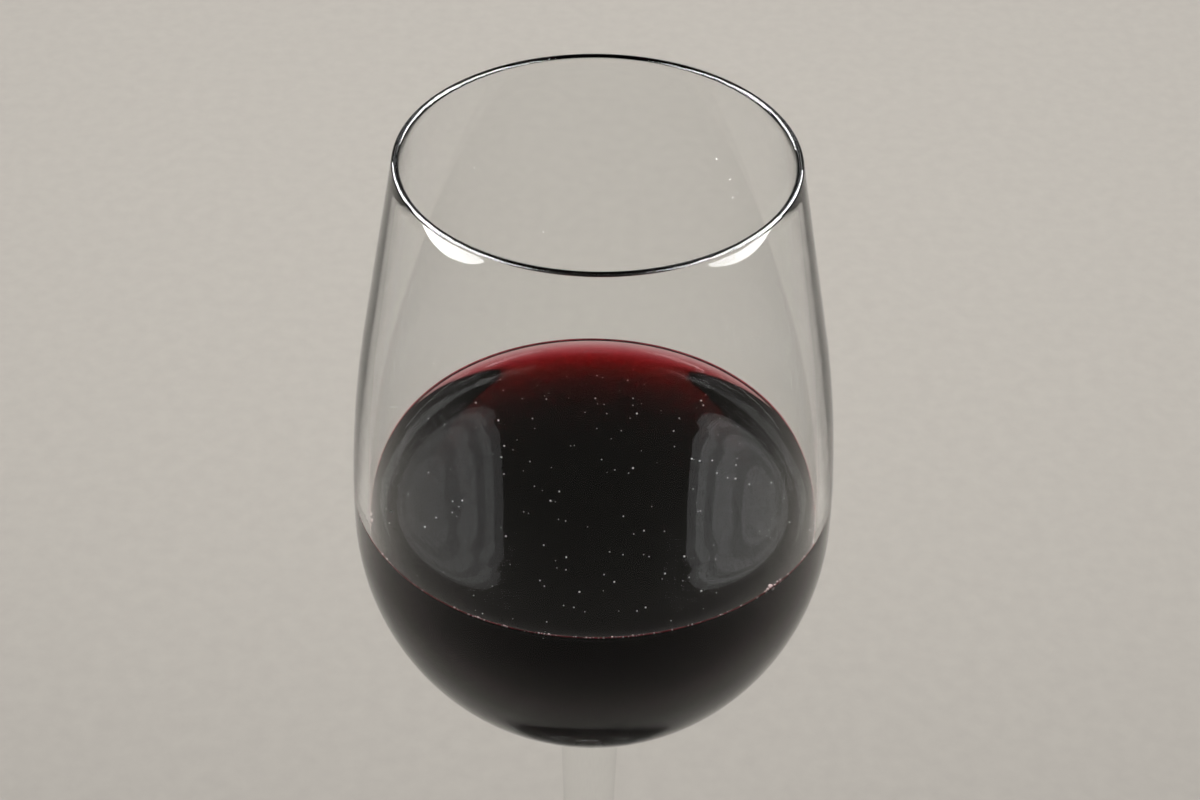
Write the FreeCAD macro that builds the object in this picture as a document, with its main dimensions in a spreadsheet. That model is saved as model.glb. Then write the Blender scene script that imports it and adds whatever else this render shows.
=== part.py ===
"""A stemmed glass of red wine, free-standing, in millimetres.

Two pieces: the glass, one solid with its bowl, stem and foot, and the wine that fills the
bowl up to its level. Each is made of half-sections turned about the upright axis. The origin
is the centre of the foot's underside, and +Z runs up through the stem to the rim.
"""
import FreeCAD, Part
import math
import os

from FreeCAD import Vector
from Sketcher import Constraint

SIZES = (
    # name, value, what it measures
    ("overall_height", 215.0, "from the surface that the foot stands on to the top of the rim"),
    ("bowl_height", 115.3, "from the bowl's underside to the top of the rim"),
    ("bowl_radius", 41.55, "outside, where the bowl is widest"),
    ("belly_height", 44.2, "from the bowl's underside up to where it is widest"),
    ("shoulder_height", 38.0, "from the widest place up to where the wall runs straight"),
    ("bowl_fullness", 0.552, "reach of the lower curve's handles: 0.552 makes it an ellipse"),
    ("rim_radius", 32.5, "outside, at the rim"),
    ("rim_wall", 1.3, "glass at the rim, which is fully rounded"),
    ("belly_wall", 2.3, "glass at the widest place"),
    ("base_wall", 5.0, "glass on the axis, under the wine"),
    ("stem_waist_radius", 4.7, "at the narrowest place of the stem"),
    ("stem_waist_height", 48.0, "from the standing surface up to that place"),
    ("stem_top_radius", 6.3, "where the stem's side ends, inside the bowl's base"),
    ("stem_top_fillet", 11.0, "between the stem and the bowl"),
    ("stem_foot_fillet", 16.0, "between the stem and the foot"),
    ("foot_radius", 38.0, "at the foot's edge"),
    ("foot_edge", 2.2, "thickness of the foot's rounded edge"),
    ("foot_rise", 5.5, "height on the axis that the foot's sloping top reaches"),
    ("foot_ring", 2.4, "width of the flat ring that the foot stands on"),
    ("foot_hollow", 1.4, "height of the shallow dome under the foot"),
    ("wine_depth", 41.7, "from the bottom of the bowl's inside to the wine's level surface"),
    ("meniscus_reach", 7.0, "how far from the wall the wine's surface begins to climb"),
    ("meniscus_climb", 3.0, "how high it climbs at the wall"),
    ("meniscus_tail", 4.9, "from the wall to the curve's lower handle, which is on the level"),
    ("meniscus_bend", 0.5, "from the wall to the curve's upper handle"),
    ("meniscus_turn", 0.9, "height of the upper handle over the level"),
)

# How a sketch names its own origin, its two axes, and the points of an edge.
ORIGIN = (-1, 1)
LEVEL_AXIS = -1
UPRIGHT_AXIS = -2
START = 1
END = 2
CENTRE = 3


class Size:
    """A size with the expression that the sheet knows it by, and what it is worth now.

    The expression drives the model; the value only places a sketch's geometry near its
    solution, so that the solver starts on the right side of every tangent.
    """

    def __init__(self, text, value):
        self.text = text
        self.value = value

    def __add__(self, other):
        return Size(f"({self.text} + {other.text})", self.value + other.value)

    def __sub__(self, other):
        return Size(f"({self.text} - {other.text})", self.value - other.value)

    def __mul__(self, other):
        return Size(f"({self.text} * {other.text})", self.value * other.value)

    def half(self):
        return Size(f"({self.text} / 2)", self.value / 2)


size = {name: Size(f"sizes.{name}", value) for name, value, meaning in SIZES}

# Heights above the standing surface and distances from the axis that several sections share.
underside = size["overall_height"] - size["bowl_height"]
widest = underside + size["belly_height"]
shoulder = widest + size["shoulder_height"]
inside_bottom = underside + size["base_wall"]
inside_radius = size["bowl_radius"] - size["belly_wall"]
rim_rounding = size["rim_wall"].half()
rim_centre_radius = size["rim_radius"] - rim_rounding
rim_centre_height = size["overall_height"] - rim_rounding
wine_level = inside_bottom + size["wine_depth"]

doc = FreeCAD.newDocument("wine_glass")


def make_sheet():
    """The driving sizes, one to a row, each with the alias that the model is bound to."""
    sheet = doc.addObject("Spreadsheet::Sheet", "sizes")
    for row, (name, value, meaning) in enumerate(SIZES, start=1):
        sheet.set(f"A{row}", name)
        sheet.set(f"B{row}", str(value))
        sheet.set(f"C{row}", meaning)
        sheet.setAlias(f"B{row}", name)
    doc.recompute()


def make_body(name):
    """An empty body for one piece, whose label names the piece's file."""
    body = doc.addObject("PartDesign::Body", name)
    body.Label = name
    body.Placement = FreeCAD.Placement()
    return body


def half_section(body, name):
    """A sketch on the body's upright plane: distance from the axis across, height up."""
    sketch = body.newObject("Sketcher::SketchObject", name)
    planes = [item for item in body.Origin.OriginFeatures if item.Role == "XZ_Plane"]
    sketch.AttachmentSupport = [(planes[0], "")]
    sketch.MapMode = "FlatFace"
    return sketch


def turned(body, kind, name, sketch):
    """The half-section turned once about the upright axis, added to the body or cut from it."""
    feature = body.newObject(f"PartDesign::{kind}", name)
    feature.Profile = sketch
    feature.ReferenceAxis = (sketch, ["V_Axis"])
    feature.Angle = 360.0
    doc.recompute()
    return feature


def point(radius, height):
    return Vector(radius.value, height.value, 0)


def hold(sketch, name, worth, kind, *where):
    """A named dimension of the sketch, driven by the sheet."""
    index = sketch.addConstraint(Constraint(kind, *where, worth.value))
    sketch.renameConstraint(index, name)
    sketch.setExpression(f"Constraints.{name}", worth.text)


def tie(sketch, *constraints):
    """Relations that need no size, such as one edge ending where the next begins."""
    for constraint in constraints:
        sketch.addConstraint(Constraint(*constraint))


def line(sketch, start, end):
    return sketch.addGeometry(Part.LineSegment(start, end))


def arc(sketch, centre, radius, start_angle, end_angle):
    """An arc from one angle round to the other, anticlockwise, in radians."""
    circle = Part.Circle(centre, Vector(0, 0, 1), radius)
    return sketch.addGeometry(Part.ArcOfCircle(circle, start_angle, end_angle))


def handled_curve(sketch, points):
    """A smooth curve led by four points, with a construction circle on each to hold it by."""
    curve = Part.BSplineCurve()
    curve.buildFromPolesMultsKnots(points, [4, 4], [0, 1], False, 3)
    edge = sketch.addGeometry(curve)
    handles = []
    for index, spot in enumerate(points):
        handle = sketch.addGeometry(Part.Circle(spot, Vector(0, 0, 1), 1.0), True)
        alignment = "InternalAlignment:Sketcher::BSplineControlPoint"
        tie(sketch, (alignment, handle, CENTRE, edge, index))
        handles.append(handle)
    tie(sketch, ("Weight", handles[0], 1.0))
    for handle in handles[1:]:
        tie(sketch, ("Equal", handles[0], handle))
    return edge, handles


def bowl_outline(sketch, bottom, radius, side):
    """One side of the bowl's wall, closed along the rim's level and down the axis.

    From the axis at the bottom an elliptical curve rises to the widest place. An arc leads
    on into a straight wall that leans in, and a quarter of a circle rounds the rim up to its
    crest. side is 1 for the outside of the glass and -1 for the inside.
    """
    reach = size["bowl_fullness"] * radius
    climb = size["bowl_fullness"] * (widest - bottom)
    zero = Size("0", 0.0)
    base, handles = handled_curve(sketch, [
        point(zero, bottom), point(reach, bottom), point(radius, widest - climb), point(radius, widest)
    ])
    tie(sketch, ("PointOnObject", base, START, UPRIGHT_AXIS))
    tie(sketch, ("Horizontal", handles[0], CENTRE, handles[1], CENTRE))
    tie(sketch, ("Vertical", handles[2], CENTRE, handles[3], CENTRE))
    hold(sketch, "bottom_height", bottom, "DistanceY", *ORIGIN, base, START)
    hold(sketch, "widest_radius", radius, "DistanceX", *ORIGIN, base, END)
    hold(sketch, "widest_height", widest, "DistanceY", *ORIGIN, base, END)
    hold(sketch, "bottom_handle", reach, "DistanceX", *ORIGIN, handles[1], CENTRE)
    hold(sketch, "belly_handle", climb, "DistanceY", handles[2], CENTRE, handles[3], CENTRE)

    rim_offset = side * rim_rounding.value
    drop = radius.value - rim_centre_radius.value - rim_offset
    lean = math.atan2(drop, (rim_centre_height - widest - size["shoulder_height"].half()).value)
    arc_radius = size["shoulder_height"].value / math.sin(lean)
    arc_centre = Vector(radius.value - arc_radius, widest.value, 0)
    side_arc = arc(sketch, arc_centre, arc_radius, 0, lean)
    tie(sketch, ("Coincident", base, END, side_arc, START))
    tie(sketch, ("Horizontal", side_arc, CENTRE, side_arc, START))
    hold(sketch, "shoulder_height", shoulder, "DistanceY", *ORIGIN, side_arc, END)

    rim_centre = point(rim_centre_radius, rim_centre_height)
    wall_start = arc_centre + Vector(math.cos(lean), math.sin(lean), 0) * arc_radius
    wall_end = rim_centre + Vector(math.cos(lean), math.sin(lean), 0) * rim_offset
    wall = line(sketch, wall_start, wall_end)
    tie(sketch, ("Tangent", side_arc, END, wall, START))

    if side > 0:
        rim = arc(sketch, rim_centre, rim_rounding.value, lean, math.pi / 2)
        rim_foot, crest = START, END
    else:
        rim = arc(sketch, rim_centre, rim_rounding.value, math.pi / 2, math.pi + lean)
        rim_foot, crest = END, START
    tie(sketch, ("Tangent", wall, END, rim, rim_foot))
    tie(sketch, ("Vertical", rim, CENTRE, rim, crest))
    hold(sketch, "rim_centre_radius", rim_centre_radius, "DistanceX", *ORIGIN, rim, CENTRE)
    hold(sketch, "rim_centre_height", rim_centre_height, "DistanceY", *ORIGIN, rim, CENTRE)
    hold(sketch, "rim_rounding", rim_rounding, "Radius", rim)

    height = size["overall_height"]
    lid = line(sketch, point(rim_centre_radius, height), point(zero, height))
    axis = line(sketch, point(zero, height), point(zero, bottom))
    tie(sketch, ("Coincident", rim, crest, lid, START), ("Horizontal", lid))
    tie(sketch, ("PointOnObject", lid, END, UPRIGHT_AXIS))
    tie(sketch, ("Coincident", lid, END, axis, START), ("Coincident", axis, END, base, START))


def stem_outline(sketch):
    """The stem, drawn in gently to a waist, from inside the foot to inside the bowl's base."""
    zero = Size("0", 0.0)
    bottom = (size["foot_rise"] + size["foot_hollow"]).half()
    top = underside + size["base_wall"].half()
    top_radius = size["stem_top_radius"]
    waist_height = size["stem_waist_height"]
    waist_radius = size["stem_waist_radius"]
    climb = top.value - waist_height.value
    flare = top_radius.value - waist_radius.value
    side_radius = (climb ** 2 + flare ** 2) / (2 * flare)
    centre = Vector(waist_radius.value + side_radius, waist_height.value, 0)
    top_angle = math.pi - math.asin(climb / side_radius)
    bottom_angle = math.pi + math.asin((waist_height.value - bottom.value) / side_radius)
    side = arc(sketch, centre, side_radius, top_angle, bottom_angle)
    hold(sketch, "top_radius", top_radius, "DistanceX", *ORIGIN, side, START)
    hold(sketch, "top_height", top, "DistanceY", *ORIGIN, side, START)
    hold(sketch, "bottom_height", bottom, "DistanceY", *ORIGIN, side, END)
    hold(sketch, "waist_height", waist_height, "DistanceY", *ORIGIN, side, CENTRE)
    waist = sketch.addGeometry(Part.Point(point(waist_radius, waist_height)), True)
    tie(sketch, ("PointOnObject", waist, START, side), ("Horizontal", waist, START, side, CENTRE))
    hold(sketch, "waist_radius", waist_radius, "DistanceX", *ORIGIN, waist, START)

    foot_side = Vector(side_radius * math.cos(bottom_angle), 0, 0) + Vector(centre.x, bottom.value, 0)
    bottom_line = line(sketch, foot_side, point(zero, bottom))
    axis = line(sketch, point(zero, bottom), point(zero, top))
    top_line = line(sketch, point(zero, top), point(top_radius, top))
    tie(sketch, ("Coincident", side, END, bottom_line, START), ("Horizontal", bottom_line))
    tie(sketch, ("PointOnObject", bottom_line, END, UPRIGHT_AXIS))
    tie(sketch, ("Coincident", bottom_line, END, axis, START), ("Vertical", axis))
    tie(sketch, ("Coincident", axis, END, top_line, START))
    tie(sketch, ("Coincident", top_line, END, side, START), ("Horizontal", top_line))


def foot_outline(sketch):
    """The foot: a domed underside, a flat ring to stand on, a round edge and a sloping top."""
    zero = Size("0", 0.0)
    edge_round = size["foot_edge"].half()
    edge_centre = size["foot_radius"] - edge_round
    ring_inside = edge_centre - size["foot_ring"]
    hollow = size["foot_hollow"].value
    rise = size["foot_rise"].value
    dome_radius = (ring_inside.value ** 2 + hollow ** 2) / (2 * hollow)
    dome_angle = math.acos(ring_inside.value / dome_radius)
    dome = arc(sketch, Vector(0, hollow - dome_radius, 0), dome_radius, dome_angle, math.pi / 2)
    tie(sketch, ("PointOnObject", dome, CENTRE, UPRIGHT_AXIS))
    tie(sketch, ("PointOnObject", dome, END, UPRIGHT_AXIS))
    tie(sketch, ("PointOnObject", dome, START, LEVEL_AXIS))
    hold(sketch, "hollow_height", size["foot_hollow"], "DistanceY", *ORIGIN, dome, END)
    hold(sketch, "ring_inside", ring_inside, "DistanceX", *ORIGIN, dome, START)

    ring = line(sketch, point(ring_inside, zero), point(edge_centre, zero))
    slope = math.atan2(rise - size["foot_edge"].value, edge_centre.value)
    edge = arc(sketch, point(edge_centre, edge_round), edge_round.value, -math.pi / 2, math.pi / 2 - slope)
    edge_top = point(edge_centre, edge_round)
    edge_top += Vector(math.sin(slope), math.cos(slope), 0) * edge_round.value
    top = line(sketch, edge_top, Vector(0, rise, 0))
    axis = line(sketch, Vector(0, rise, 0), Vector(0, hollow, 0))
    tie(sketch, ("Coincident", dome, START, ring, START))
    tie(sketch, ("Tangent", ring, END, edge, START), ("Horizontal", ring))
    hold(sketch, "edge_centre_radius", edge_centre, "DistanceX", *ORIGIN, edge, CENTRE)
    hold(sketch, "edge_round", edge_round, "Radius", edge)
    tie(sketch, ("Tangent", edge, END, top, START), ("PointOnObject", top, END, UPRIGHT_AXIS))
    hold(sketch, "rise_height", size["foot_rise"], "DistanceY", *ORIGIN, top, END)
    tie(sketch, ("Coincident", top, END, axis, START), ("Coincident", axis, END, dome, END))


def air_outline(sketch):
    """All that lies over the wine: a level surface that climbs where it meets the wall."""
    zero = Size("0", 0.0)
    climb_start = inside_radius - size["meniscus_reach"]
    lower_handle = inside_radius - size["meniscus_tail"]
    upper_handle = inside_radius - size["meniscus_bend"]
    upper_height = wine_level + size["meniscus_turn"]
    climb_top = wine_level + size["meniscus_climb"]
    clear_radius = size["bowl_radius"]
    clear_height = size["overall_height"] + size["rim_wall"]
    surface = line(sketch, point(zero, wine_level), point(climb_start, wine_level))
    tie(sketch, ("PointOnObject", surface, START, UPRIGHT_AXIS), ("Horizontal", surface))
    hold(sketch, "wine_level", wine_level, "DistanceY", *ORIGIN, surface, START)
    climb, handles = handled_curve(sketch, [
        point(climb_start, wine_level), point(lower_handle, wine_level),
        point(upper_handle, upper_height), point(inside_radius, climb_top)
    ])
    tie(sketch, ("Coincident", surface, END, climb, START))
    tie(sketch, ("Horizontal", handles[0], CENTRE, handles[1], CENTRE))
    hold(sketch, "climb_start", climb_start, "DistanceX", *ORIGIN, climb, START)
    hold(sketch, "lower_handle", lower_handle, "DistanceX", *ORIGIN, handles[1], CENTRE)
    hold(sketch, "upper_handle", upper_handle, "DistanceX", *ORIGIN, handles[2], CENTRE)
    hold(sketch, "upper_height", upper_height, "DistanceY", *ORIGIN, handles[2], CENTRE)
    hold(sketch, "climb_end", inside_radius, "DistanceX", *ORIGIN, climb, END)
    hold(sketch, "climb_top", climb_top, "DistanceY", *ORIGIN, climb, END)

    shelf = line(sketch, point(inside_radius, climb_top), point(clear_radius, climb_top))
    outside = line(sketch, point(clear_radius, climb_top), point(clear_radius, clear_height))
    lid = line(sketch, point(clear_radius, clear_height), point(zero, clear_height))
    axis = line(sketch, point(zero, clear_height), point(zero, wine_level))
    tie(sketch, ("Coincident", climb, END, shelf, START), ("Horizontal", shelf))
    tie(sketch, ("Coincident", shelf, END, outside, START), ("Vertical", outside))
    tie(sketch, ("Coincident", outside, END, lid, START), ("Horizontal", lid))
    tie(sketch, ("Coincident", lid, END, axis, START), ("PointOnObject", lid, END, UPRIGHT_AXIS))
    tie(sketch, ("Coincident", axis, END, surface, START))
    hold(sketch, "clear_radius", clear_radius, "DistanceX", *ORIGIN, outside, END)
    hold(sketch, "clear_height", clear_height, "DistanceY", *ORIGIN, outside, END)


def rounded(body, name, base, near_radius, near_height, radius):
    """A fillet on the ring-shaped edge of the base nearest to a radius and a height."""
    def miss(index):
        box = base.Shape.Edges[index].BoundBox
        return math.hypot(box.XMax - near_radius.value, box.ZMax - near_height.value)

    rings = [index for index, edge in enumerate(base.Shape.Edges) if edge.isClosed()]
    nearest = min(rings, key=miss)
    fillet = body.newObject("PartDesign::Fillet", name)
    fillet.Base = (base, [f"Edge{nearest + 1}"])
    fillet.setExpression("Radius", radius.text)
    doc.recompute()
    return fillet


def make_glass():
    """Bowl, stem and foot fused into one, their joints rounded, and the bowl hollowed out."""
    body = make_body("glass")
    section = half_section(body, "bowl_section")
    bowl_outline(section, underside, size["bowl_radius"], 1)
    turned(body, "Revolution", "bowl", section)
    section = half_section(body, "foot_section")
    foot_outline(section)
    turned(body, "Revolution", "foot", section)
    section = half_section(body, "stem_section")
    stem_outline(section)
    stem = turned(body, "Revolution", "stem", section)
    top = rounded(body, "stem_top_round", stem,
                  size["stem_top_radius"], underside, size["stem_top_fillet"])
    rounded(body, "stem_foot_round", top,
            size["stem_waist_radius"], size["foot_rise"], size["stem_foot_fillet"])
    section = half_section(body, "cavity_section")
    bowl_outline(section, inside_bottom, inside_radius, -1)
    turned(body, "Groove", "cavity", section)
    return body


def make_wine():
    """The bowl's whole inside, less the air above the wine's level."""
    body = make_body("wine")
    section = half_section(body, "fill_section")
    bowl_outline(section, inside_bottom, inside_radius, -1)
    turned(body, "Revolution", "fill", section)
    section = half_section(body, "air_section")
    air_outline(section)
    turned(body, "Groove", "air", section)
    return body


def check(pieces):
    """Stop unless every object was built, and every piece is one valid solid."""
    doc.recompute()
    for item in doc.Objects:
        failed = {"Invalid", "Error"} & set(item.State)
        if failed:
            raise RuntimeError(f"{item.Name} is not built: {item.State}")
    for piece in pieces:
        shape = piece.Shape
        if shape.isNull() or not shape.isValid() or len(shape.Solids) != 1:
            raise RuntimeError(f"{piece.Label} is not one valid solid")


make_sheet()
pieces = [make_glass(), make_wine()]
check(pieces)
os.makedirs("parts", exist_ok=True)
for piece in pieces:
    piece.Shape.exportStep(os.path.join("parts", f"{piece.Label}.step"))
    box = piece.Shape.optimalBoundingBox()
    print(f"{piece.Label}: {box.XLength:.2f} x {box.YLength:.2f} x {box.ZLength:.2f} mm, "
          f"from {box.ZMin:.2f} to {box.ZMax:.2f}, {piece.Shape.Volume / 1000:.1f} ml")
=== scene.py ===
"""A stemmed glass of red wine on a pale table, under soft studio light. Lengths in metres."""
import math
import random

import bmesh
import bpy
from mathutils import Matrix, Quaternion, Vector


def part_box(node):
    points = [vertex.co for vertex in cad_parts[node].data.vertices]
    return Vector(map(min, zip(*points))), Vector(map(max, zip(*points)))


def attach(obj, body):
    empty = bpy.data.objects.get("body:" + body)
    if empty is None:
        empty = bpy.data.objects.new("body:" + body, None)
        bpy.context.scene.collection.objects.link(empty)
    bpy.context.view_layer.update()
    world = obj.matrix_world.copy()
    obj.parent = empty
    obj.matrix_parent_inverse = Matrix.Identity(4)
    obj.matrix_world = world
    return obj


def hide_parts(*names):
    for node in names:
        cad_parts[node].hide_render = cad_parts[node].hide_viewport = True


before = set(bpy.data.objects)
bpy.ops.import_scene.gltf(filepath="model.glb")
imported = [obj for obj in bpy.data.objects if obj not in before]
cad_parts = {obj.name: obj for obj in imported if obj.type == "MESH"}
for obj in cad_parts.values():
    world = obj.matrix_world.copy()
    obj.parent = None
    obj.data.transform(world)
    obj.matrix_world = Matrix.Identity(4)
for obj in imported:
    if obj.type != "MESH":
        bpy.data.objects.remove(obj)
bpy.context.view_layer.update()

MM = 0.001
GLASS_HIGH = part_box("glass")[1]

# The glass's sizes, as the frame has them. Radii are from the upright axis.
TOP = GLASS_HIGH[2]
BOWL_RADIUS = GLASS_HIGH[0]
BOWL_HEIGHT = 115.3 * MM
BELLY_HEIGHT = 44.2 * MM
SHOULDER_HEIGHT = 38.0 * MM
BOWL_FULLNESS = 0.552
RIM_RADIUS = 32.5 * MM
RIM_WALL = 1.3 * MM
BELLY_WALL = 2.3 * MM
STEM_WAIST_RADIUS = 4.7 * MM
STEM_WAIST_HEIGHT = 48.0 * MM
STEM_TOP_RADIUS = 6.3 * MM
STEM_TOP_FILLET = 11.0 * MM
STEM_FOOT_FILLET = 16.0 * MM
FOOT_RADIUS = 38.0 * MM
FOOT_EDGE = 2.2 * MM
FOOT_RISE = 5.5 * MM
FOOT_RING = 2.4 * MM
FOOT_HOLLOW = 1.4 * MM
MENISCUS_CLIMB = 2.85 * MM
CAPILLARY_LENGTH = 2.2 * MM

BASE_WALL = 5.0 * MM
WINE_LEVEL = 146.4 * MM

UNDERSIDE = TOP - BOWL_HEIGHT
WIDEST = UNDERSIDE + BELLY_HEIGHT
SHOULDER = WIDEST + SHOULDER_HEIGHT
INSIDE_BOTTOM = UNDERSIDE + BASE_WALL
INSIDE_RADIUS = BOWL_RADIUS - BELLY_WALL
CONTACT_HEIGHT = WINE_LEVEL + MENISCUS_CLIMB
RIM_ROUNDING = RIM_WALL / 2
RIM_CENTRE = Vector((RIM_RADIUS - RIM_ROUNDING, TOP - RIM_ROUNDING))

SEGMENTS = 256
WINE_IN_WALL = 0.25 * MM  # how far the wine reaches into the wall, so that no air gap shows

# What the lamps aim at, the middle of the bowl.
AIM = (0, 0, 0.15)
# How much of the clear glass's reflection is kept, seen face on. The pale floor would fog it.
CLEAR_GLOSS = 0.42
# What is left of red, green and blue, and how fast the wine takes the rest, per metre.
WINE_TINT = (0.82, 0.0, 0.1)
WINE_DENSITY = 1200

WINDOW_DISTANCE = 1.115
WINDOW_HEIGHT = 1.16
WINDOW_CENTRE = 1.36
WINDOW_STRIPS = (
    # from, to (metres off the middle), radiance
    (0.108, 0.120, 0.8), (0.120, 0.132, 1.6), (0.132, 0.144, 1.1), (0.144, 0.166, 1.8),
    (0.166, 0.186, 1.3), (0.186, 0.210, 1.9), (0.210, 0.240, 1.6), (0.240, 0.65, 2.0),
)
SOFTBOX_DISTANCE = 1.5
SOFTBOXES = (
    # azimuth, elevation (degrees), width, height (metres), radiance
    (48, 34, 0.7, 1.1, 36), (86, 37, 1.0, 1.35, 44), (122, 41, 0.7, 1.1, 28),
)
WASHES = (
    # name, x, y (metres)
    ("wash_back", 0, 1.9), ("wash_front", 0, -2.3), ("wash_left", -1.8, 0.5), ("wash_right", 1.8, 0.5),
)
# side (-1 is left), share of the window strips' radiance, the glint's height and radiance
SIDES = ((-1, 0.8, 0.034, 18), (1, 1.15, 0.025, 15))

LENS = 72.72
CAMERA_PLACE = (0.95 * MM, -0.3239, TOP + 0.2041)
CAMERA_PITCH = math.radians(37.96)
CAMERA_ROLL = math.radians(0.916)


def bisect(miss, low, high):
    """Where miss changes sign between low and high."""
    rising = miss(low) < 0
    for _ in range(60):
        middle = (low + high) / 2
        if (miss(middle) < 0) == rising:
            low = middle
        else:
            high = middle
    return (low + high) / 2


def on_arc(centre, radius, start, end, steps):
    """Points on an arc of the half-section, angles in radians from the outward direction."""
    angles = [start + (end - start) * step / steps for step in range(steps + 1)]
    return [centre + Vector((math.cos(angle), math.sin(angle))) * radius for angle in angles]


def base_point(radius, bottom, share):
    """On the curve from the axis at the bottom (share 0) to the widest place (share 1)."""
    reach = BOWL_FULLNESS * radius
    climb = BOWL_FULLNESS * (WIDEST - bottom)
    points = [Vector((0, bottom)), Vector((reach, bottom)),
              Vector((radius, WIDEST - climb)), Vector((radius, WIDEST))]
    rest = 1 - share
    weights = [rest ** 3, 3 * rest ** 2 * share, 3 * rest * share ** 2, share ** 3]
    total = Vector((0, 0))
    for weight, spot in zip(weights, points):
        total += spot * weight
    return total


def base_normal(radius, bottom, share):
    """Away from the axis and down, square to that curve."""
    step = 1e-4
    along = base_point(radius, bottom, share + step) - base_point(radius, bottom, share - step)
    return Vector((along.y, -along.x)).normalized()


def wall_lean(radius, side):
    """How far from upright the straight wall leans, for the outside (1) or the inside (-1)."""
    def miss(lean):
        bend = SHOULDER_HEIGHT / math.sin(lean)
        top = Vector((radius - bend * (1 - math.cos(lean)), SHOULDER))
        normal = Vector((math.cos(lean), math.sin(lean)))
        return (RIM_CENTRE + normal * side * RIM_ROUNDING - top).dot(normal)
    return bisect(miss, math.radians(1), math.radians(40))


def upper_wall(radius, side, steps):
    """From the widest place up the shoulder and the straight wall to the rim's crest."""
    lean = wall_lean(radius, side)
    bend = SHOULDER_HEIGHT / math.sin(lean)
    points = on_arc(Vector((radius - bend, WIDEST)), bend, 0, lean, steps)
    start = 0 if side > 0 else math.pi
    rim = on_arc(RIM_CENTRE, RIM_ROUNDING, start + lean, math.pi / 2, 10)
    foot = points[-1]
    straight = [foot.lerp(rim[0], share / 14) for share in range(1, 14)]
    return points + straight + rim


def stem_and_base():
    """From the foot's slope round into the stem, up it, and round into the bowl's base."""
    top = UNDERSIDE + BASE_WALL / 2
    climb = top - STEM_WAIST_HEIGHT
    flare = STEM_TOP_RADIUS - STEM_WAIST_RADIUS
    side_radius = (climb ** 2 + flare ** 2) / (2 * flare)
    side_centre = Vector((STEM_WAIST_RADIUS + side_radius, STEM_WAIST_HEIGHT))

    edge_centre = Vector((FOOT_RADIUS - FOOT_EDGE / 2, FOOT_EDGE / 2))
    apex = Vector((0, FOOT_RISE))
    reach = (apex - edge_centre).length
    slope = math.atan2(apex.y - edge_centre.y, edge_centre.x) - math.asin(FOOT_EDGE / 2 / reach)
    along = Vector((math.cos(slope), -math.sin(slope)))
    normal = Vector((math.sin(slope), math.cos(slope)))

    def foot_centre(distance):
        return apex + along * distance + normal * STEM_FOOT_FILLET

    def foot_miss(distance):
        return (foot_centre(distance) - side_centre).length - (side_radius - STEM_FOOT_FILLET)
    foot_at = foot_centre(bisect(foot_miss, STEM_WAIST_RADIUS, FOOT_RADIUS))

    def bowl_centre(share):
        spot = base_point(BOWL_RADIUS, UNDERSIDE, share)
        return spot + base_normal(BOWL_RADIUS, UNDERSIDE, share) * STEM_TOP_FILLET

    def bowl_miss(share):
        return (bowl_centre(share) - side_centre).length - (side_radius - STEM_TOP_FILLET)
    bowl_share = bisect(bowl_miss, 0.01, 0.6)
    bowl_at = bowl_centre(bowl_share)

    def angle(vector):
        return math.atan2(vector.y, vector.x) % (2 * math.pi)

    low = angle(foot_at - side_centre)
    high = angle(bowl_at - side_centre)
    edge = on_arc(edge_centre, FOOT_EDGE / 2, -math.pi / 2, math.pi / 2 - slope, 16)
    foot_round = on_arc(foot_at, STEM_FOOT_FILLET, angle(-normal), low, 18)
    side = on_arc(side_centre, side_radius, low, high, 30)
    toward_bowl = angle(-base_normal(BOWL_RADIUS, UNDERSIDE, bowl_share))
    if toward_bowl > high:
        toward_bowl -= 2 * math.pi
    bowl_round = on_arc(bowl_at, STEM_TOP_FILLET, high, toward_bowl, 16)
    slope_points = [edge[-1].lerp(foot_round[0], share / 8) for share in range(1, 8)]
    return edge + slope_points + foot_round + side[1:-1] + bowl_round, bowl_share


def glass_profile():
    """The glass's half-section, from under the foot out, up, over the rim and down inside."""
    ring_inside = FOOT_RADIUS - FOOT_EDGE / 2 - FOOT_RING
    dome_radius = (ring_inside ** 2 + FOOT_HOLLOW ** 2) / (2 * FOOT_HOLLOW)
    dome_angle = math.acos(ring_inside / dome_radius)
    dome_centre = Vector((0, FOOT_HOLLOW - dome_radius))
    dome = on_arc(dome_centre, dome_radius, math.pi / 2, dome_angle, 12)
    outside, share = stem_and_base()
    belly = [base_point(BOWL_RADIUS, UNDERSIDE, share + (1 - share) * step / 34) for step in range(1, 34)]
    inside = upper_wall(INSIDE_RADIUS, -1, 20)[:-1]
    inside.reverse()
    basin = [base_point(INSIDE_RADIUS, INSIDE_BOTTOM, 1 - step / 38) for step in range(1, 39)]
    return dome + outside + belly + upper_wall(BOWL_RADIUS, 1, 20) + inside + basin


def wall_radius(height):
    """The inside radius of the bowl at a height."""
    if height < WIDEST:
        share = bisect(lambda s: base_point(INSIDE_RADIUS, INSIDE_BOTTOM, s).y - height, 0, 1)
        return base_point(INSIDE_RADIUS, INSIDE_BOTTOM, share).x
    lean = wall_lean(INSIDE_RADIUS, -1)
    bend = SHOULDER_HEIGHT / math.sin(lean)
    return INSIDE_RADIUS - bend + math.sqrt(bend ** 2 - (height - WIDEST) ** 2)


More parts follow.
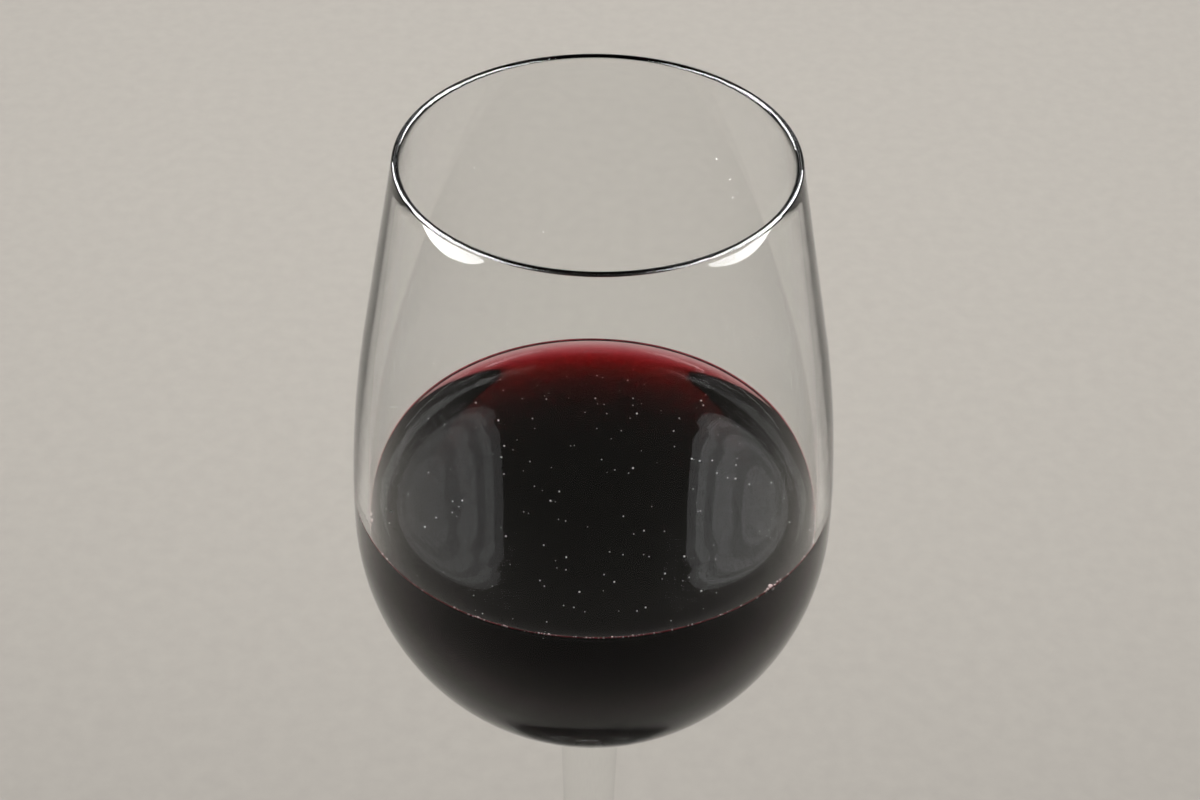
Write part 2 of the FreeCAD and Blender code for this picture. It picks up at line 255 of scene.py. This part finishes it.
def surface_profile():
    """The wine's surface from the axis out: level, then climbing to the wall as liquids do.

    The climb follows the balance of surface tension and weight against an upright wall: how
    far out a height is reached comes from the capillary length alone.
    """
    wall = wall_radius(WINE_LEVEL + MENISCUS_CLIMB)

    def away(climb):
        share = climb / CAPILLARY_LENGTH
        return CAPILLARY_LENGTH * (math.acosh(2 / share) - math.sqrt(4 - share ** 2))
    steps = 34
    heights = [MENISCUS_CLIMB * 0.82 ** step for step in range(steps)]
    curl = [Vector((wall - (away(h) - away(MENISCUS_CLIMB)), WINE_LEVEL + h)) for h in heights]
    curl.reverse()
    curl[0].y = WINE_LEVEL
    flat = [Vector((curl[0].x * step / 10, WINE_LEVEL)) for step in range(10)]
    return flat + curl


def wine_profile():
    """The wine: its surface, then down inside the wall, which it overlaps by a hair."""
    surface = surface_profile()
    contact = Vector((surface[-1].x + WINE_IN_WALL, surface[-1].y + 0.05 * MM))
    side = []
    rows = 40
    if contact.y > WIDEST:
        for step in range(1, 7):
            height = contact.y + (WIDEST - contact.y) * step / 7
            side.append(Vector((wall_radius(height) + WINE_IN_WALL, height)))
    for step in range(rows + 1):
        share = 1 - step / rows
        spot = base_point(INSIDE_RADIUS, INSIDE_BOTTOM, share)
        if spot.y < contact.y:
            side.append(spot + base_normal(INSIDE_RADIUS, INSIDE_BOTTOM, max(share, 1e-3)) * WINE_IN_WALL)
    side[-1] = Vector((0, INSIDE_BOTTOM - WINE_IN_WALL))
    return surface + [contact] + side


def lathe(name, profile, segments=SEGMENTS):
    """A closed smooth mesh: the half-section turned about the upright axis."""
    mesh = bpy.data.meshes.new(name)
    form = bmesh.new()
    rings = []
    for spot in profile:
        if spot.x < 1e-9:
            rings.append([form.verts.new((0, 0, spot.y))])
            continue
        ring = []
        for step in range(segments):
            turn = 2 * math.pi * step / segments
            ring.append(form.verts.new((spot.x * math.cos(turn), spot.x * math.sin(turn), spot.y)))
        rings.append(ring)
    for low, high in zip(rings, rings[1:]):
        for step in range(segments):
            after = (step + 1) % segments
            corners = []
            for ring, index in ((low, step), (low, after), (high, after), (high, step)):
                vertex = ring[index % len(ring)]
                if vertex not in corners:
                    corners.append(vertex)
            form.faces.new(corners)
    bmesh.ops.recalc_face_normals(form, faces=form.faces)
    form.to_mesh(mesh)
    form.free()
    for face in mesh.polygons:
        face.use_smooth = True
    piece = bpy.data.objects.new(name, mesh)
    bpy.context.scene.collection.objects.link(piece)
    return piece


def new_material(name):
    """An empty material with one Principled shader."""
    material = bpy.data.materials.new(name)
    material.use_nodes = True
    tree = material.node_tree
    tree.nodes.clear()
    output = tree.nodes.new("ShaderNodeOutputMaterial")
    shader = tree.nodes.new("ShaderNodeBsdfPrincipled")
    tree.links.new(shader.outputs["BSDF"], output.inputs["Surface"])
    return material, tree, shader


def add_bump(tree, shader, scale, stretch, strength, distance):
    """Fine unevenness: noise of so many grains a metre, stretched along the upright."""
    where = tree.nodes.new("ShaderNodeTexCoord")
    mapping = tree.nodes.new("ShaderNodeMapping")
    mapping.inputs["Scale"].default_value = (1.0, 1.0, 1.0 / stretch)
    noise = tree.nodes.new("ShaderNodeTexNoise")
    noise.inputs["Scale"].default_value = scale
    noise.inputs["Detail"].default_value = 3.0
    bump = tree.nodes.new("ShaderNodeBump")
    bump.inputs["Strength"].default_value = strength
    bump.inputs["Distance"].default_value = distance
    tree.links.new(where.outputs["Object"], mapping.inputs["Vector"])
    tree.links.new(mapping.outputs["Vector"], noise.inputs["Vector"])
    tree.links.new(noise.outputs["Fac"], bump.inputs["Height"])
    tree.links.new(bump.outputs["Normal"], shader.inputs["Normal"])
    return noise


def add_mottle(tree, shader, noise, low, high):
    """The noise also shifts the colour between two close ones."""
    ramp = tree.nodes.new("ShaderNodeValToRGB")
    ramp.color_ramp.elements[0].position = 0.3
    ramp.color_ramp.elements[0].color = (*low, 1)
    ramp.color_ramp.elements[1].position = 0.7
    ramp.color_ramp.elements[1].color = (*high, 1)
    tree.links.new(noise.outputs["Fac"], ramp.inputs["Fac"])
    tree.links.new(ramp.outputs["Color"], shader.inputs["Base Color"])


def glass_material(name, gloss):
    """Clear glass, faintly drawn out in upright streaks. gloss is 0 where it is wet."""
    material, tree, shader = new_material(name)
    shader.inputs["Base Color"].default_value = (0.985, 0.99, 0.985, 1)
    shader.inputs["Roughness"].default_value = 0.0
    shader.inputs["IOR"].default_value = 1.5
    shader.inputs["Transmission Weight"].default_value = 1.0
    shader.inputs["Specular Tint"].default_value = (gloss, gloss, gloss, 1.0)
    add_bump(tree, shader, 220, 30, 0.015, 0.01 * MM)
    return material


def wine_material():
    """Clear red wine, which takes green and blue out of the light within a millimetre or two.

    Only its surface is glossy: against the glass it reflects next to nothing.
    """
    material, tree, shader = new_material("red_wine")
    shader.inputs["Base Color"].default_value = (1, 1, 1, 1)
    shader.inputs["Roughness"].default_value = 0.0
    shader.inputs["IOR"].default_value = 1.34
    shader.inputs["Transmission Weight"].default_value = 1.0
    surface = tree.nodes.new("ShaderNodeNewGeometry")
    upright = tree.nodes.new("ShaderNodeSeparateXYZ")
    facing_up = tree.nodes.new("ShaderNodeMath")
    facing_up.operation = "GREATER_THAN"
    facing_up.inputs[1].default_value = 0.06
    tree.links.new(surface.outputs["Normal"], upright.inputs["Vector"])
    tree.links.new(upright.outputs["Z"], facing_up.inputs[0])
    tree.links.new(facing_up.outputs["Value"], shader.inputs["Specular Tint"])
    depth = tree.nodes.new("ShaderNodeVolumeAbsorption")
    depth.inputs["Color"].default_value = (*WINE_TINT, 1)
    depth.inputs["Density"].default_value = WINE_DENSITY
    tree.links.new(depth.outputs["Volume"], tree.nodes["Material Output"].inputs["Volume"])
    return material


def film_material():
    """The thin edge of the wine, which light shines through pink."""
    material, tree, shader = new_material("wine_film")
    shader.inputs["Roughness"].default_value = 0.25
    shader.inputs["Transmission Weight"].default_value = 0.3
    shader.inputs["IOR"].default_value = 1.34
    noise = add_bump(tree, shader, 900, 1, 0.5, 0.05 * MM)
    add_mottle(tree, shader, noise, (0.12, 0.010, 0.018), (0.34, 0.06, 0.07))
    return material


def bubble_material():
    """Froth, pale pink and half clear."""
    material, tree, shader = new_material("wine_bubble")
    shader.inputs["Roughness"].default_value = 0.08
    shader.inputs["Transmission Weight"].default_value = 0.5
    shader.inputs["IOR"].default_value = 1.33
    noise = add_bump(tree, shader, 2500, 1, 0.3, 0.02 * MM)
    add_mottle(tree, shader, noise, (0.80, 0.52, 0.52), (0.95, 0.85, 0.83))
    return material


def dust_material():
    """Pale specks of dust."""
    material, tree, shader = new_material("pale_dust")
    shader.inputs["Roughness"].default_value = 0.7
    noise = add_bump(tree, shader, 4000, 1, 0.5, 0.02 * MM)
    add_mottle(tree, shader, noise, (0.70, 0.69, 0.67), (0.92, 0.91, 0.89))
    return material


def floor_material():
    """A plain pale table with a fine grain."""
    material, tree, shader = new_material("pale_floor")
    shader.inputs["Roughness"].default_value = 0.8
    noise = add_bump(tree, shader, 220, 1, 0.25, 0.2 * MM)
    add_mottle(tree, shader, noise, (0.535, 0.50, 0.455), (0.565, 0.53, 0.48))
    return material


def add_lamp(name, data, centre, target, roll=0.0):
    """Puts a lamp at centre, facing target and hidden from the camera."""
    lamp = bpy.data.objects.new(name, data)
    lamp.location = centre
    facing = (Vector(target) - Vector(centre)).to_track_quat("-Z", "Y")
    lamp.rotation_euler = (facing @ Quaternion((0, 0, 1), roll)).to_euler()
    lamp.visible_camera = False
    bpy.context.scene.collection.objects.link(lamp)
    return lamp


def area_light(name, centre, target, width, height, radiance, roll=0.0):
    """A rectangular lamp, as bright as its radiance says."""
    data = bpy.data.lights.new(name, "AREA")
    data.shape = "RECTANGLE"
    data.size = width
    data.size_y = height
    data.energy = radiance * math.pi * width * height
    return add_lamp(name, data, centre, target, roll)


def is_wet(face):
    """Whether a face of the glass is on the bowl's inside, under the wine."""
    spot = face.center
    if not INSIDE_BOTTOM - 0.1 * MM < spot.z < CONTACT_HEIGHT:
        return False
    faces_in = Vector((spot.x, spot.y, 0)).dot(face.normal) < 0 or face.normal.z > 0.9
    near_enough = math.hypot(spot.x, spot.y) < INSIDE_RADIUS + 0.2 * MM
    return faces_in and near_enough and face.normal.z > -0.2


def build_glass():
    """The glass, clear all over but for the wet inside, which doesn't shine."""
    glass = lathe("glass_clear", glass_profile())
    glass.data.materials.append(glass_material("clear_glass", CLEAR_GLOSS))
    glass.data.materials.append(glass_material("clear_glass_wet", 0.0))
    for face in glass.data.polygons:
        face.material_index = 1 if is_wet(face) else 0
    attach(glass, "root")
    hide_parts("glass")
    return glass


def build_wine():
    """The wine, up to its level and the climb at the wall."""
    wine = lathe("wine_fill", wine_profile())
    wine.data.materials.append(wine_material())
    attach(wine, "root")
    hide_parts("wine")
    return wine


def film_profile():
    """A hair of wine on the wall over the contact line, a closed ring's section."""
    wall = [Vector((wall_radius(CONTACT_HEIGHT + rise * MM) + 0.02 * MM, CONTACT_HEIGHT + rise * MM))
            for rise in (-0.2, -0.08, 0.04, 0.12)]
    return wall + [wall[2] - Vector((0.06 * MM, 0)), wall[1] - Vector((0.10 * MM, 0)),
                   wall[0] - Vector((0.05 * MM, 0)), wall[0]]


def crumbs(name, spots, facets, flatness, unevenness, seed):
    """One mesh of many tiny rounded grains. Each spot is a centre and a radius."""
    chance = random.Random(seed)
    form = bmesh.new()
    for centre, radius in spots:
        grain = bmesh.ops.create_icosphere(form, subdivisions=facets, radius=radius)
        for vertex in grain["verts"]:
            vertex.co.z *= flatness
            vertex.co *= 1 + unevenness * chance.uniform(-1, 1)
            vertex.co += centre
    mesh = bpy.data.meshes.new(name)
    form.to_mesh(mesh)
    form.free()
    for face in mesh.polygons:
        face.use_smooth = True
    piece = bpy.data.objects.new(name, mesh)
    bpy.context.scene.collection.objects.link(piece)
    return piece


def around(turn, radius, height):
    """A place by its angle round the upright axis, its radius and its height."""
    return Vector((radius * math.cos(turn), radius * math.sin(turn), height))


def edge_bubbles():
    """Froth left at the wine's edge: a string of pinpricks, and two little clusters."""
    chance = random.Random(12)
    contact_radius = wall_radius(CONTACT_HEIGHT)
    spots = []
    for _ in range(150):
        turn = math.radians(chance.gauss(-90, 48))
        radius = chance.choice((0.07, 0.09, 0.10, 0.13, 0.18)) * MM
        height = CONTACT_HEIGHT + chance.uniform(-0.15, 0.1) * MM
        spots.append((around(turn, contact_radius - radius * 0.2, height), radius))
    # Each cluster: its angle in degrees, then the bubbles' place along the wall, rise and radius in mm.
    clusters = ((197.5, ((-1.3, 0.1, 0.34), (-0.55, 0.5, 0.30), (-0.4, -0.4, 0.38), (0.45, 0.1, 0.34),
                         (1.25, -0.05, 0.2))),
                (-43.0, ((-1.2, -0.15, 0.22), (-0.6, 0.0, 0.26), (0.1, 0.25, 0.38), (0.5, -0.5, 0.32),
                         (1.6, 0.3, 0.17), (2.3, 0.35, 0.12))))
    for turn, bubbles in clusters:
        for along, rise, radius in bubbles:
            around_wall = math.radians(turn) + along * MM / contact_radius
            reach = contact_radius - radius * MM * 0.5
            spots.append((around(around_wall, reach, CONTACT_HEIGHT + rise * MM), radius * MM))
    return spots


def dust_spots():
    """Specks of dust: afloat on the wine, and stuck to the inside of the bowl."""
    chance = random.Random(31)
    spots = []
    for _ in range(150):
        turn = chance.uniform(0, 2 * math.pi)
        radius = chance.choice((0.07, 0.08, 0.10, 0.13, 0.17)) * MM
        reach = 0.93 * INSIDE_RADIUS * math.sqrt(chance.random())
        spots.append((around(turn, reach, WINE_LEVEL + 0.3 * radius), radius))
    for _ in range(90):
        turn = chance.uniform(0, 2 * math.pi)
        radius = chance.choice((0.05, 0.07, 0.09, 0.11)) * MM
        height = chance.uniform(CONTACT_HEIGHT + 1 * MM, SHOULDER + 20 * MM)
        if height < SHOULDER:
            wall = wall_radius(height)
        else:
            wall = wall_radius(SHOULDER) - (height - SHOULDER) * math.tan(wall_lean(INSIDE_RADIUS, -1))
        spots.append((around(turn, wall - 0.2 * radius, height), radius))
    return spots


def build_edge_and_dust():
    """The film and froth at the wine's edge, and the dust."""
    film = lathe("wine_edge_film", film_profile())
    film.data.materials.append(film_material())
    bubbles = crumbs("wine_edge_bubbles", edge_bubbles(), 2, 0.92, 0.0, 5)
    bubbles.data.materials.append(bubble_material())
    dust = crumbs("dust_specks", dust_spots(), 1, 0.7, 0.3, 6)
    dust.data.materials.append(dust_material())
    for piece in (film, bubbles, dust):
        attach(piece, "root")
    return film, bubbles, dust


def build_floor():
    """The pale table top, which isn't part of the object."""
    mesh = bpy.data.meshes.new("floor")
    mesh.from_pydata([(-3, -3, 0), (3, -3, 0), (3, 3, 0), (-3, 3, 0)], [], [(0, 1, 2, 3)])
    floor = bpy.data.objects.new("floor", mesh)
    bpy.context.scene.collection.objects.link(floor)
    floor.data.materials.append(floor_material())
    return floor


def toward(azimuth, elevation, distance):
    """A place round the bowl: azimuth 0 is straight behind it, positive to the right."""
    turn, rise = math.radians(azimuth), math.radians(elevation)
    level = distance * math.cos(rise)
    return (level * math.sin(turn), level * math.cos(turn), AIM[2] + distance * math.sin(rise))


def group_of(name, pieces):
    """A collection for light linking."""
    group = bpy.data.collections.new(name)
    for piece in pieces:
        group.objects.link(piece)
    return group


def light_floor(floor_group, shade_group):
    """A pool of light behind the glass, a dim light overhead and four washes far out.

    None of them shows in the gloss. Only the wine shades them: with caustics off, the clear
    glass would throw an opaque shadow.
    """
    data = bpy.data.lights.new("key", "SPOT")
    data.energy = 66
    data.shadow_soft_size = 0.15
    data.spot_size = math.radians(52)
    data.spot_blend = 1.0
    key = add_lamp("key", data, (0, 0.06, 1.6), (0, 0.42, 0))
    key.visible_glossy = False
    key.light_linking.blocker_collection = shade_group

    floor_lamps = [area_light("overhead", (0, 0.5, 3.5), (0, 0.5, 0), 8.0, 8.0, 0.30)]
    for name, x, y in WASHES:
        wash = area_light(name, (x, y, 1.4), (x, y, 0), 2.2, 2.2, 0.40)
        wash.data.spread = math.radians(105)
        floor_lamps.append(wash)
    for lamp in floor_lamps:
        lamp.visible_glossy = False
        lamp.visible_transmission = False
        lamp.light_linking.receiver_collection = floor_group
        lamp.light_linking.blocker_collection = shade_group


def light_drink(drink_group):
    """Bright panels for the gloss of the glass and the wine, which leave the floor alone."""
    def panel(name, centre, target, width, height, radiance, roll=0.0):
        lamp = area_light(name, centre, target, width, height, radiance, roll)
        lamp.light_linking.receiver_collection = drink_group
        return lamp

    for side, window_share, glint_height, glint_radiance in SIDES:
        for index, (inner, outer, radiance) in enumerate(WINDOW_STRIPS):
            x = side * (inner + outer) / 2
            panel(f"window_{side}_{index}", (x, WINDOW_DISTANCE, WINDOW_CENTRE), (x, 0, WINDOW_CENTRE),
                  outer - inner, WINDOW_HEIGHT, window_share * radiance)
        for azimuth, elevation, width, height, radiance in SOFTBOXES:
            centre = toward(side * azimuth, elevation, SOFTBOX_DISTANCE)
            softbox = panel(f"softbox_{side}_{azimuth}", centre, AIM, width, height, radiance)
            softbox.visible_transmission = False
        # A long thin strip that shows at the wine's far edge.
        panel(f"edge_strip_{side}", toward(side * 78, 42, SOFTBOX_DISTANCE), AIM, 1.2, 0.12, 26)
        # A small one near the table, for the bright patch just under the rim.
        x, y, _ = toward(side * 100, 0, 0.5)
        glint = panel(f"glint_{side}", (x, y, 0.058), (0, 0, 0.058), 0.42, glint_height,
                      glint_radiance, roll=-side * math.radians(5.7))
        glint.data.shape = "ELLIPSE"
        glint.visible_transmission = False


def light_crumbs(crumb_group, shade_group):
    """Two lamps for the tiny pieces behind the wall, which the clear glass doesn't shade."""
    for name, centre, radiance in (("crumbs_left", (-0.5, -0.6, 1.0), 20),
                                   ("crumbs_right", (0.6, 0.4, 1.0), 16)):
        lamp = area_light(name, centre, AIM, 0.4, 0.4, radiance)
        lamp.light_linking.receiver_collection = crumb_group
        lamp.light_linking.blocker_collection = shade_group


def set_world():
    """Soft grey all round, fading to near black overhead, so that the wine mirrors the dark."""
    world = bpy.data.worlds.new("studio")
    bpy.context.scene.world = world
    world.use_nodes = True
    sky = world.node_tree
    direction = sky.nodes.new("ShaderNodeTexCoord")
    upright = sky.nodes.new("ShaderNodeSeparateXYZ")
    fade = sky.nodes.new("ShaderNodeValToRGB")
    fade.color_ramp.elements[0].position = 0.15
    fade.color_ramp.elements[0].color = (0.24, 0.232, 0.22, 1)
    fade.color_ramp.elements[1].position = 0.52
    fade.color_ramp.elements[1].color = (0.02, 0.02, 0.02, 1)
    sky.links.new(direction.outputs["Generated"], upright.inputs["Vector"])
    sky.links.new(upright.outputs["Z"], fade.inputs["Fac"])
    sky.links.new(fade.outputs["Color"], sky.nodes["Background"].inputs["Color"])


def add_camera():
    """The camera, above the rim and in front, looking down into the bowl."""
    data = bpy.data.cameras.new("camera")
    data.sensor_width = 36.0
    data.lens = LENS
    camera = bpy.data.objects.new("camera", data)
    camera.matrix_world = (Matrix.Translation(CAMERA_PLACE)
                           @ Matrix.Rotation(math.pi / 2 - CAMERA_PITCH, 4, "X")
                           @ Matrix.Rotation(CAMERA_ROLL, 4, "Z"))
    bpy.context.scene.collection.objects.link(camera)
    bpy.context.scene.camera = camera


def set_light_paths():
    """Enough bounces for glass in front of wine in front of glass, and no caustics."""
    bpy.context.scene.view_settings.view_transform = "Standard"
    cycles = bpy.context.scene.cycles
    cycles.sample_clamp_indirect = 4.0
    cycles.caustics_reflective = False
    cycles.caustics_refractive = False
    cycles.max_bounces = 24
    cycles.transmission_bounces = 24
    cycles.glossy_bounces = 12
    cycles.diffuse_bounces = 3


glass = build_glass()
wine = build_wine()
tiny_pieces = build_edge_and_dust()
floor = build_floor()

shade_group = group_of("wine_only", [wine])
light_floor(group_of("floor_only", [floor]), shade_group)
light_drink(group_of("glass_and_wine", [glass, wine, *tiny_pieces]))
light_crumbs(group_of("film_bubbles_dust", tiny_pieces), shade_group)
set_world()
add_camera()
set_light_paths()
